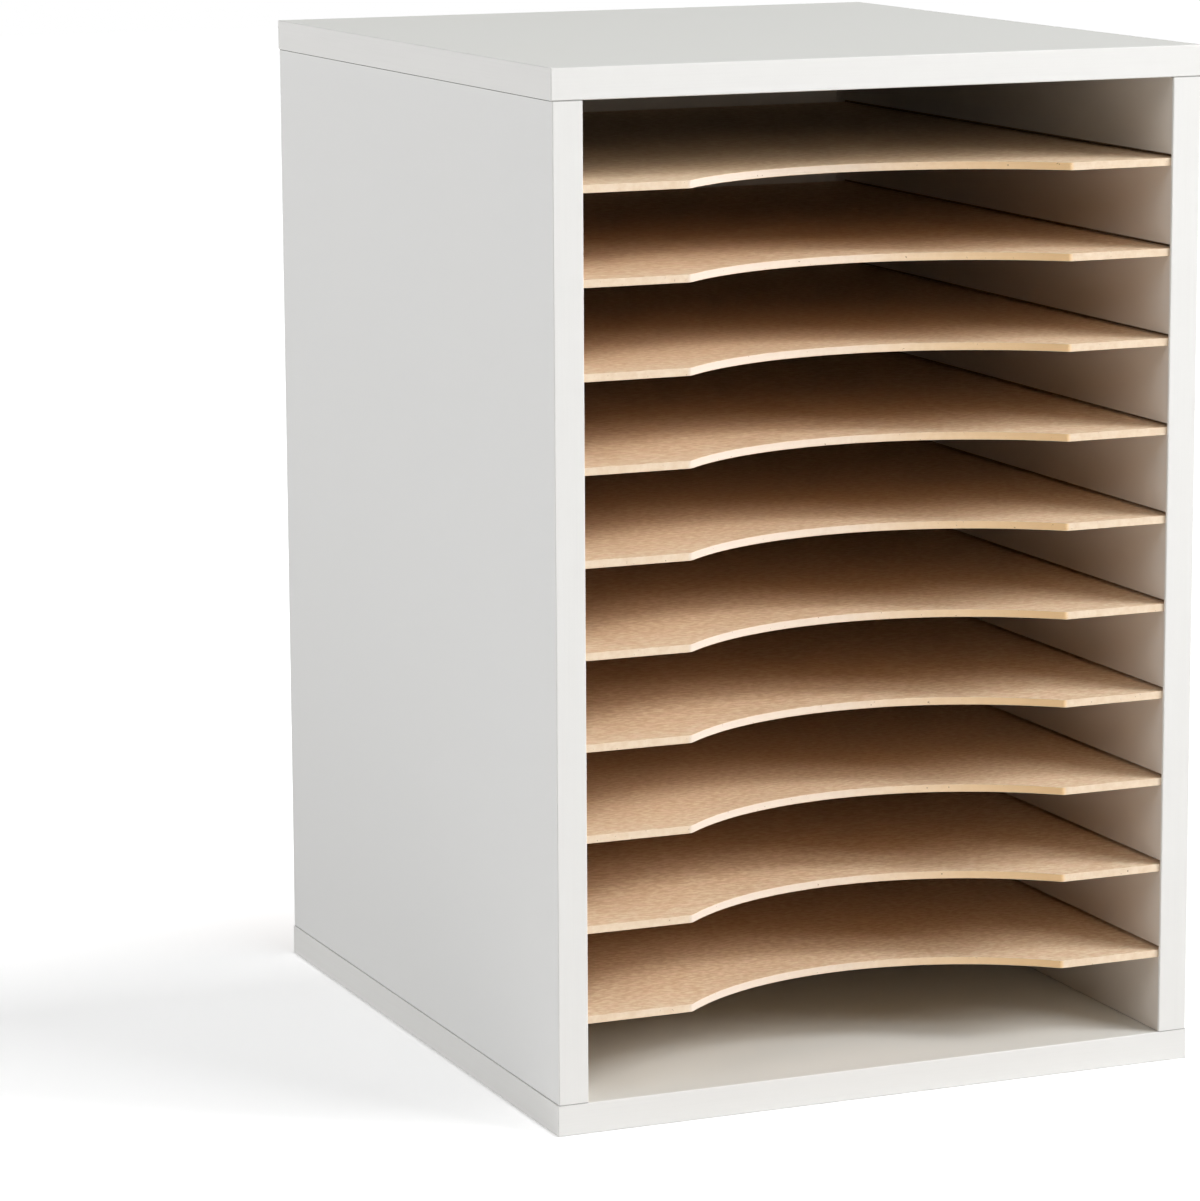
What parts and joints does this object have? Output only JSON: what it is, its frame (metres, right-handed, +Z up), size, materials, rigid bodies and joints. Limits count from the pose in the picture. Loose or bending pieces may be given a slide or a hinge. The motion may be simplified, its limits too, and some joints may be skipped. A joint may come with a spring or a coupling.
{
  "type": "literature organizer",
  "caption": "Free-standing board case, open at the front, whose loose thin shelves make flat slots for sorted papers; each shelf front has an arc cut out for the fingers.",
  "frame": {"origin": "centre of the underside", "axes": "+Z up, -Y towards the open front, +X to the right as seen from the front"},
  "size_m": [0.273, 0.3048, 0.4064],
  "materials": {
    "white_board": "satin white foil on fibreboard, raw fibreboard on the hidden edges",
    "white_edge_band": "satin white plastic band",
    "tan_fibreboard": "unfinished, smooth-pressed face and paler sawn edges",
    "white_faced_hardboard": "white lacquer on the inner face, raw brown on the rear face",
    "beech_dowel": "plain turned beech",
    "zinc_plated_steel": "bright zinc"
  },
  "bodies": {
    "case": {"top_panel": "white_board", "bottom_panel": "white_board", "left_side_panel": "white_board", "right_side_panel": "white_board", "top_front_band": "white_edge_band", "top_left_band": "white_edge_band", "top_right_band": "white_edge_band", "bottom_front_band": "white_edge_band", "bottom_left_band": "white_edge_band", "bottom_right_band": "white_edge_band", "left_side_front_band": "white_edge_band", "right_side_front_band": "white_edge_band", "top_dowels": "beech_dowel", "bottom_dowels": "beech_dowel"},
    "back": {"back_panel": "white_faced_hardboard", "back_panel_screws": "zinc_plated_steel"},
    "shelf_01_body": {"shelf_01": "tan_fibreboard"},
    "shelf_02_body": {"shelf_02": "tan_fibreboard"},
    "shelf_03_body": {"shelf_03": "tan_fibreboard"},
    "shelf_04_body": {"shelf_04": "tan_fibreboard"},
    "shelf_05_body": {"shelf_05": "tan_fibreboard"},
    "shelf_06_body": {"shelf_06": "tan_fibreboard"},
    "shelf_07_body": {"shelf_07": "tan_fibreboard"},
    "shelf_08_body": {"shelf_08": "tan_fibreboard"},
    "shelf_09_body": {"shelf_09": "tan_fibreboard"},
    "shelf_10_body": {"shelf_10": "tan_fibreboard"}
  },
  "joints": [
    {"name": "back_panel_slide", "type": "slide", "parent": "case", "child": "back", "axis": [0, 1, 0], "range_m": [0, 0.375]},
    {"name": "shelf_01_slide", "type": "slide", "parent": "case", "child": "shelf_01_body", "axis": [0, 1, 0], "range_m": [0, 0.3]},
    {"name": "shelf_02_slide", "type": "slide", "parent": "case", "child": "shelf_02_body", "axis": [0, 1, 0], "range_m": [0, 0.3]},
    {"name": "shelf_03_slide", "type": "slide", "parent": "case", "child": "shelf_03_body", "axis": [0, 1, 0], "range_m": [0, 0.3]},
    {"name": "shelf_04_slide", "type": "slide", "parent": "case", "child": "shelf_04_body", "axis": [0, 1, 0], "range_m": [0, 0.3]},
    {"name": "shelf_05_slide", "type": "slide", "parent": "case", "child": "shelf_05_body", "axis": [0, 1, 0], "range_m": [0, 0.3]},
    {"name": "shelf_06_slide", "type": "slide", "parent": "case", "child": "shelf_06_body", "axis": [0, 1, 0], "range_m": [0, 0.3]},
    {"name": "shelf_07_slide", "type": "slide", "parent": "case", "child": "shelf_07_body", "axis": [0, 1, 0], "range_m": [0, 0.3]},
    {"name": "shelf_08_slide", "type": "slide", "parent": "case", "child": "shelf_08_body", "axis": [0, 1, 0], "range_m": [0, 0.3]},
    {"name": "shelf_09_slide", "type": "slide", "parent": "case", "child": "shelf_09_body", "axis": [0, 1, 0], "range_m": [0, 0.3]},
    {"name": "shelf_10_slide", "type": "slide", "parent": "case", "child": "shelf_10_body", "axis": [0, 1, 0], "range_m": [0, 0.3]}
  ],
  "couplings": [
    {"joint": "shelf_01_slide", "follows": "back_panel_slide", "ratio": 0.8},
    {"joint": "shelf_02_slide", "follows": "back_panel_slide", "ratio": 0.8},
    {"joint": "shelf_03_slide", "follows": "back_panel_slide", "ratio": 0.8},
    {"joint": "shelf_04_slide", "follows": "back_panel_slide", "ratio": 0.8},
    {"joint": "shelf_05_slide", "follows": "back_panel_slide", "ratio": 0.8},
    {"joint": "shelf_06_slide", "follows": "back_panel_slide", "ratio": 0.8},
    {"joint": "shelf_07_slide", "follows": "back_panel_slide", "ratio": 0.8},
    {"joint": "shelf_08_slide", "follows": "back_panel_slide", "ratio": 0.8},
    {"joint": "shelf_09_slide", "follows": "back_panel_slide", "ratio": 0.8},
    {"joint": "shelf_10_slide", "follows": "back_panel_slide", "ratio": 0.8}
  ]
}
